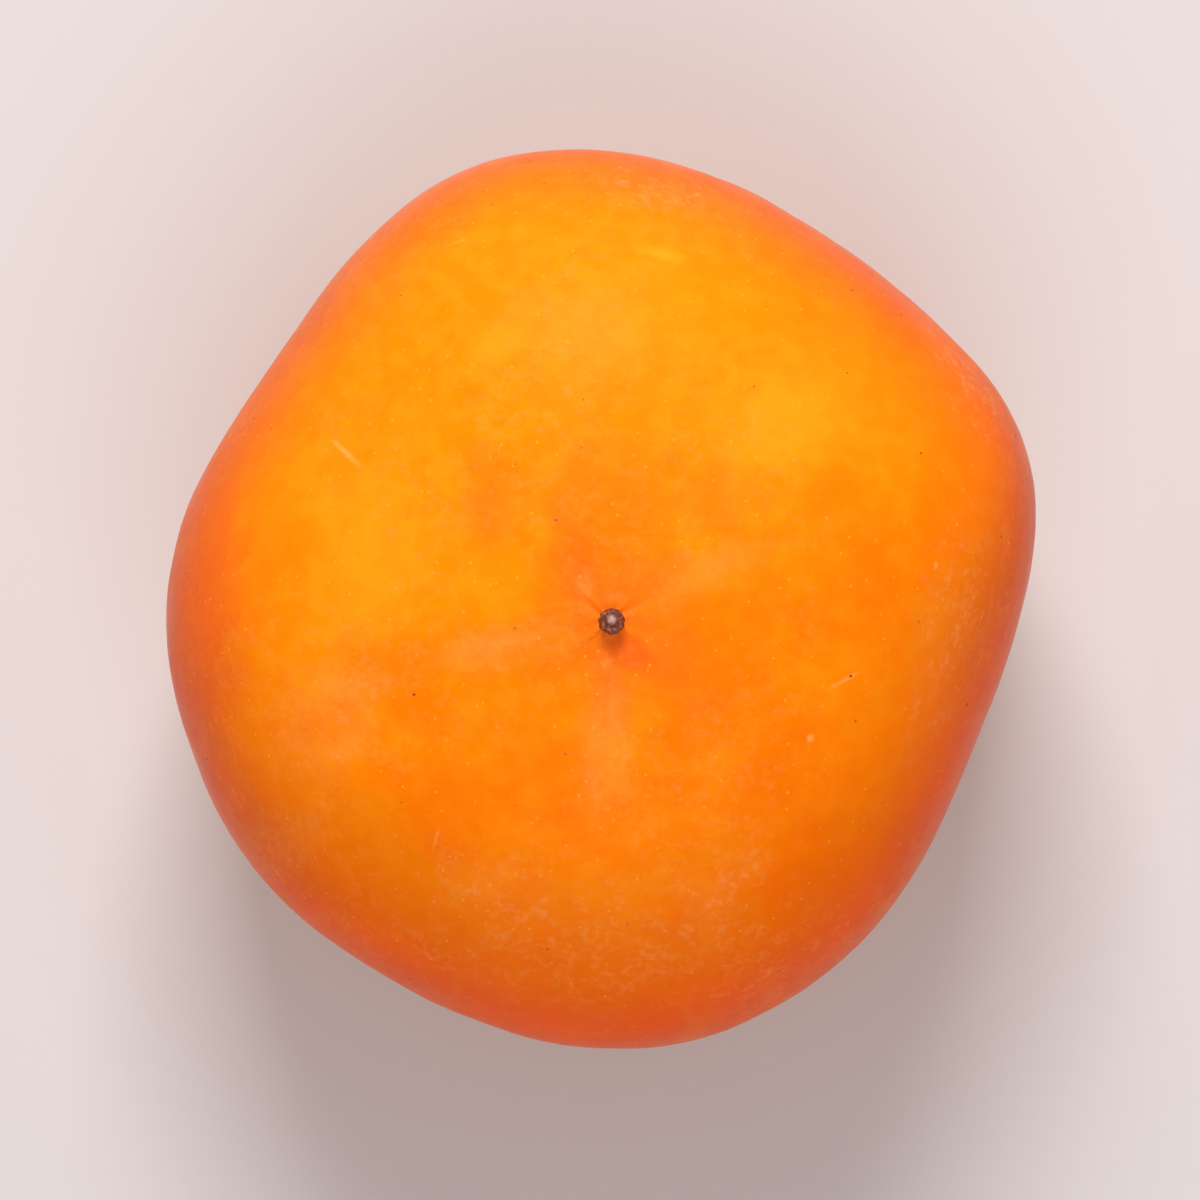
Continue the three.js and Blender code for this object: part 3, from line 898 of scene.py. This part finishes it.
# The dried style on the apex: a wrinkled bead, rooted in the nib, with a dimple round its broken tip.
styleForm = {
    "footRadius": 0.8,
    "bulgeRadius": 1.15,
    "height": 1.3,
    "bulgePower": 0.75,
    "rootDepth": 0.5,
    "dimpleDepth": 0.2,
    "dimpleRadius": 0.62,
    "dimpleWidth": 0.18,
    "lobing": 0.1,
    "wrinkles": 0.1,
    "tipRelief": 0.07,
    "columns": 96,
    "rows": 48,
}


def styleMesh():
    form = styleForm
    foot = berryForm["Equator height"] + berryForm["Dome height"] - berryForm["Dip depth"]
    foot += berryForm["Nib height"] + calyxForm["gap"]
    turn = np.linspace(0, 2 * np.pi, form["columns"], endpoint=False)
    rings = []
    for t in np.linspace(0, 1, form["rows"])[:-1]:
        angle = math.pi * t
        bulge = math.sin(angle) ** form["bulgePower"]
        radius = form["bulgeRadius"] * bulge
        rise = form["height"] / 2 * (1 - math.cos(angle))
        relief = 0
        if t < 0.5:
            radius = form["footRadius"] + (form["bulgeRadius"] - form["footRadius"]) * bulge
            rise = rise - form["rootDepth"] * math.cos(angle) ** 4
        if t > 0.5:
            relief = form["tipRelief"]
            fromDimple = (radius - form["dimpleRadius"]) / form["dimpleWidth"]
            rise = rise - form["dimpleDepth"] * math.exp(-fromDimple ** 2)
        around = np.stack([np.cos(turn), np.sin(turn), 0.3 * rise + 0 * turn], 1)
        lobed = 1 + form["lobing"] * bumps(around, 1.1, 3)
        x, y = radius * lobed * np.cos(turn), radius * lobed * np.sin(turn)
        spots = np.stack([x, y, 0.5 * rise + 0 * x], 1)
        wrinkle = 1 + form["wrinkles"] * (bumps(spots, 0.34, 5) - 0.4)
        z = np.minimum(foot + rise + relief * bumps(spots, 0.3, 9), foot + form["height"])
        rings.append(np.stack([berryForm["Apex X"] + x * wrinkle, berryForm["Apex Y"] + y * wrinkle, z], 1))
    centre = [berryForm["Apex X"], berryForm["Apex Y"]]
    root = [*centre, foot - form["rootDepth"]]
    return ringMesh("driedStyle", rings, root, [*centre, rings[-1][:, 2].mean()])


# What is left of the flower's style: dark red-brown, hard, faintly shiny on its ridges, with a greyish,
# broken tip a little off its middle towards the light; the pale tip is in part a painted highlight.
styleLook = {"char": "#66240E", "ridge": "#A8562C", "pith": "#C8A496"}
styleZones = {"pith": (0.5, 0.2, 0.7, "LINEAR")}
# the pale tip is moved towards the key light: in part a painted highlight
tipOffset = 0.16


def driedStyle():
    material, tree, shader = newMaterial("driedStyle")
    spot = millimetres(tree)
    level = addNode(tree, "ShaderNodeVectorMath", spot, (1.0, 1.0, 0.0), operation="MULTIPLY")
    tip = (berryForm["Apex X"], berryForm["Apex Y"] + tipOffset, 0.0)
    near = addNode(tree, "ShaderNodeVectorMath", level, tip, operation="SUBTRACT")
    radius = addNode(tree, "ShaderNodeVectorMath", near, operation="LENGTH").outputs["Value"]
    ridges = patches(tree, spot, 0.28, 0.5, 0.62, 0.8, 3.0)
    radius = addNode(tree, "ShaderNodeMath", ridges, 0.25, radius, operation="MULTIPLY_ADD")
    pith = zoneMasks(tree, styleZones, {"pith": radius})["pith"]
    colour = layerColours(tree, styleLook, "char", [(ridges, "ridge"), (pith, "pith")])
    bump = addNode(tree, "ShaderNodeBump", {"Strength": 0.6, "Distance": 0.05 * mm, "Height": ridges})
    setInputs(tree, shader, {"Base Color": colour, "Roughness": 0.42, "Normal": bump})
    return material


newPiece("driedStyle", styleMesh(), driedStyle(), "dried_style", "style_tip")


# Studio: a pale floor, a soft raised light from the picture's top, a broader and weaker one across from it,
# and an even pale room.
studio = {
    "floor": "#D3CBC9",
    "room": "#FBF8F8",
    "wallStrength": 0.42,
    "ceilingStrength": 0.4,
    "keyTurn": 93.0,
    "keyRise": 43.0,
    "keyDistance": 1.1,  # metres, as the sizes of the lights and the reach of the floor are
    "keySize": (0.5, 0.4),
    "keyPower": 10.9,
    "fillTurn": -86.0,
    "fillRise": 50.0,
    "fillDistance": 1.1,
    "fillSize": (0.9, 0.9),
    "fillPower": 4.6,
    "floorReach": 3.0,
}


def addSoftLight(name, turn, rise, distance, size, power):
    light = bpy.data.lights.new(name, "AREA")
    light.shape = "RECTANGLE"
    light.size, light.size_y = size
    light.energy = power
    lamp = bpy.data.objects.new(name, light)
    a, e = math.radians(turn), math.radians(rise)
    way = Vector((math.cos(a) * math.cos(e), math.sin(a) * math.cos(e), math.sin(e)))
    lamp.location = way * distance
    lamp.rotation_euler = way.to_track_quat("Z", "Y").to_euler()
    scene.collection.objects.link(lamp)


for name, part in (("softWindow", "key"), ("softFill", "fill")):
    addSoftLight(name, *[studio[part + what] for what in ("Turn", "Rise", "Distance", "Size", "Power")])

room = bpy.data.worlds.new("paleRoom")
room.use_nodes = True
roomTree = room.node_tree
way = addNode(roomTree, "ShaderNodeSeparateXYZ", addNode(roomTree, "ShaderNodeTexCoord"))
inputs = {"Value": way.outputs["Z"], "To Min": studio["wallStrength"], "To Max": studio["ceilingStrength"]}
dimming = addNode(roomTree, "ShaderNodeMapRange", inputs)
inputs = {"Color": linearColour(studio["room"]), "Strength": dimming}
setInputs(roomTree, roomTree.nodes["Background"], inputs)
scene.world = room

reach = studio["floorReach"]
floorMesh = bpy.data.meshes.new("paleFloor")
corners = [(-reach, -reach, 0), (reach, -reach, 0), (reach, reach, 0), (-reach, reach, 0)]
floorMesh.from_pydata(corners, [], [(0, 1, 2, 3)])
floorMaterial, floorTree, floorShader = newMaterial("paleFloor")
setInputs(floorTree, floorShader, {"Base Color": linearColour(studio["floor"]), "Roughness": 0.75})
floorMesh.materials.append(floorMaterial)
floor = bpy.data.objects.new("paleFloor", floorMesh)
scene.collection.objects.link(floor)
print("studio lit")

# The camera looks straight down from as far away as in the photograph, with the picture's top along +Y.
view = {"distance": 1.2, "frameWidth": 0.104, "sensor": 36.0, "aimHeight": 0.025}
camera = bpy.data.objects.new("camera", bpy.data.cameras.new("camera"))
camera.data.sensor_width = view["sensor"]
camera.data.lens = view["sensor"] * (view["distance"] - view["aimHeight"]) / view["frameWidth"]
camera.location = (0, 0, view["distance"])
scene.collection.objects.link(camera)
scene.camera = camera
scene.view_settings.view_transform = "Standard"
scene.view_settings.look = "None"
